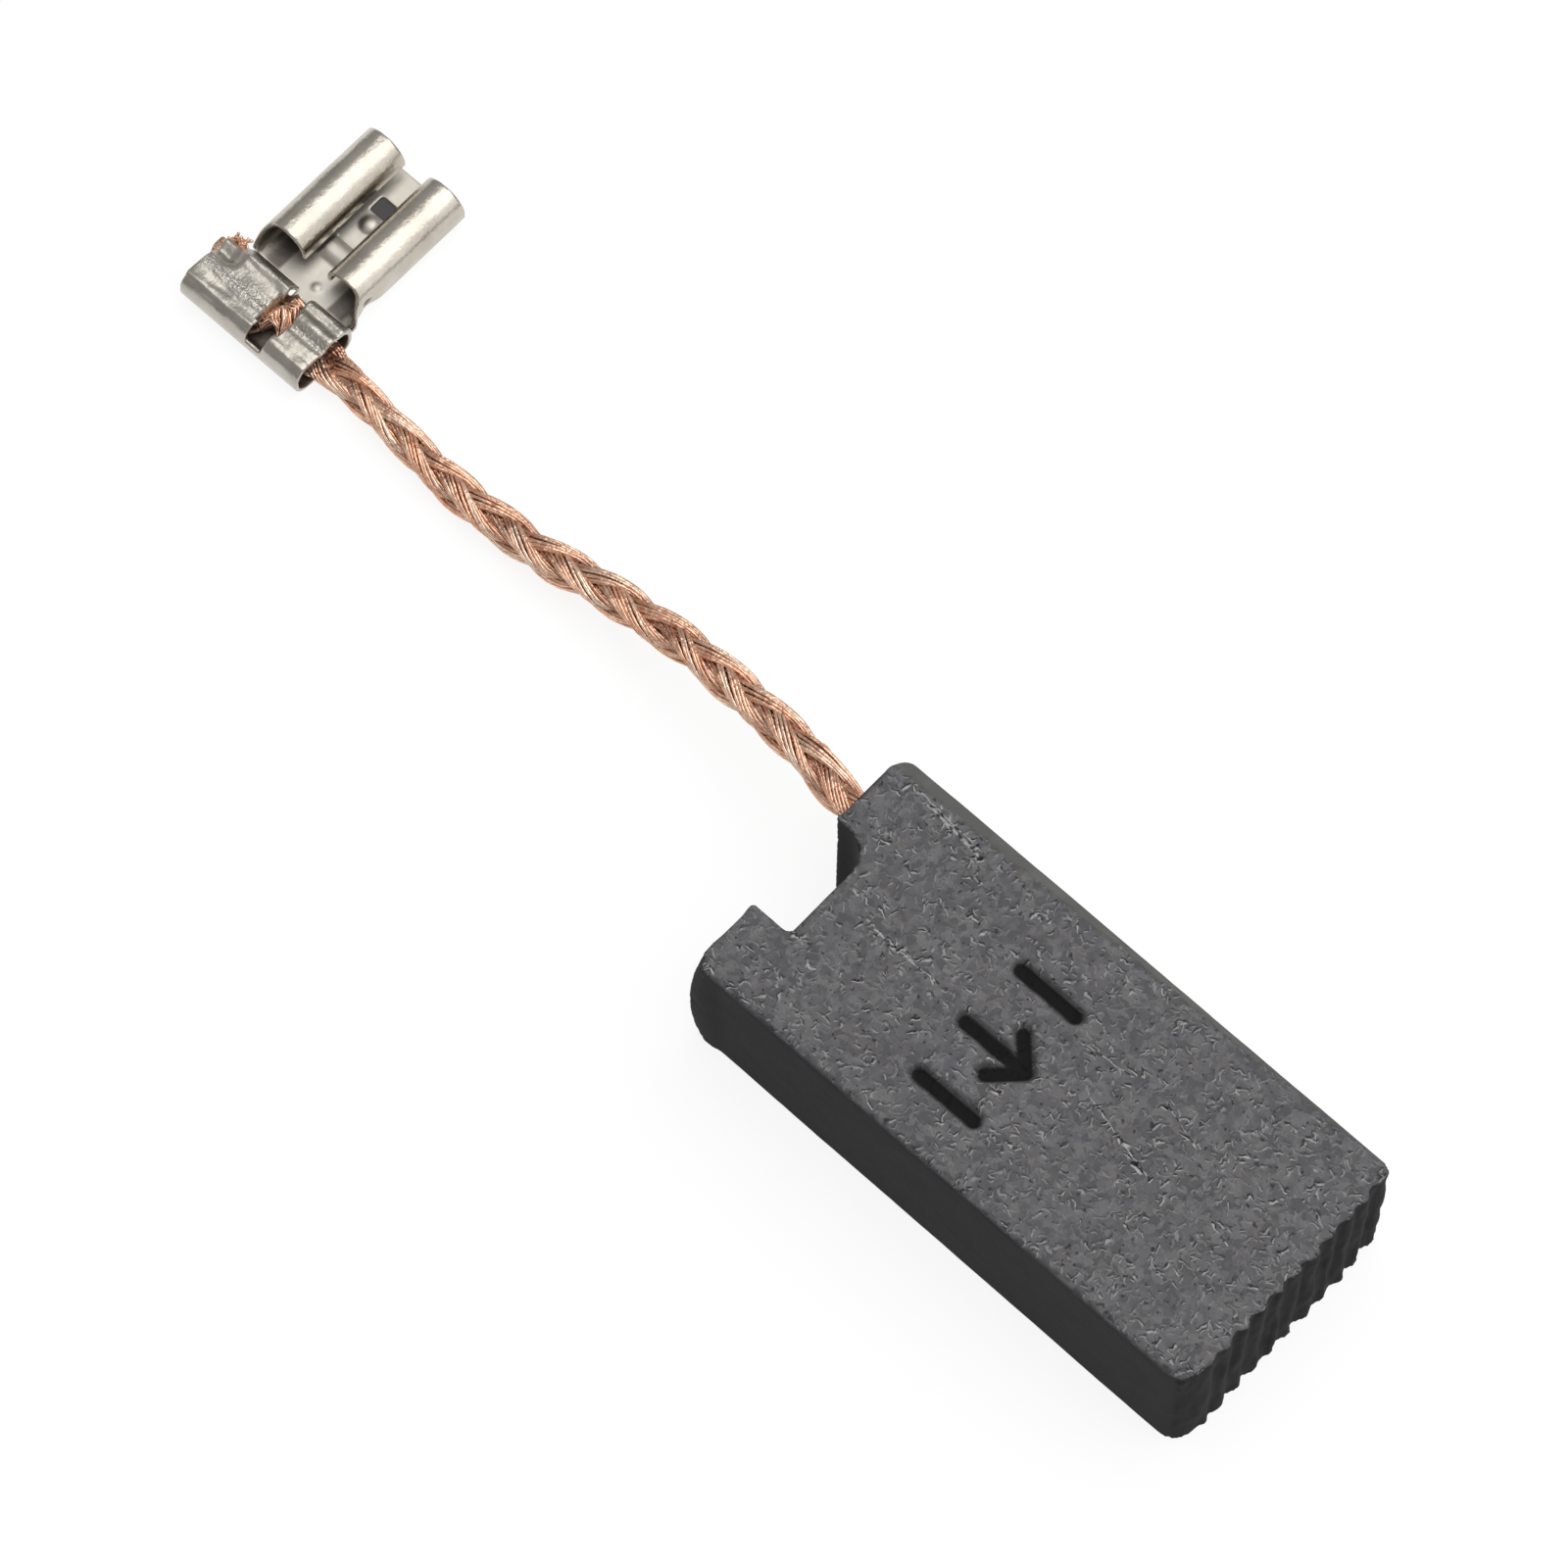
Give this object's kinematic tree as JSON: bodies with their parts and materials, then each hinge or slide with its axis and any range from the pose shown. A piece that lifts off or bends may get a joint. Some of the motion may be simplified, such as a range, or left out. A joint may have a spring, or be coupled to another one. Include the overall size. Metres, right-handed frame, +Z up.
{
  "type": "carbon brush",
  "caption": "Pressed carbon block with a spring notch and grooved working face, a braided copper lead and a crimped flag receptacle.",
  "frame": {"origin": "middle of the block's bottom face, on the surface that the block lies on", "axes": "+X along the block to its grooved working face, +Y towards the side with the lead, +Z up"},
  "size_m": [0.0855, 0.0264, 0.01],
  "materials": {
    "carbon": "matte",
    "tamping": "matte",
    "copper": "satin",
    "tinned_brass": "satin"
  },
  "bodies": {
    "root": {"carbon_block": "carbon", "tamping_plug": "tamping", "shunt_lead": "copper", "flag_terminal": "tinned_brass"}
  },
  "joints": []
}
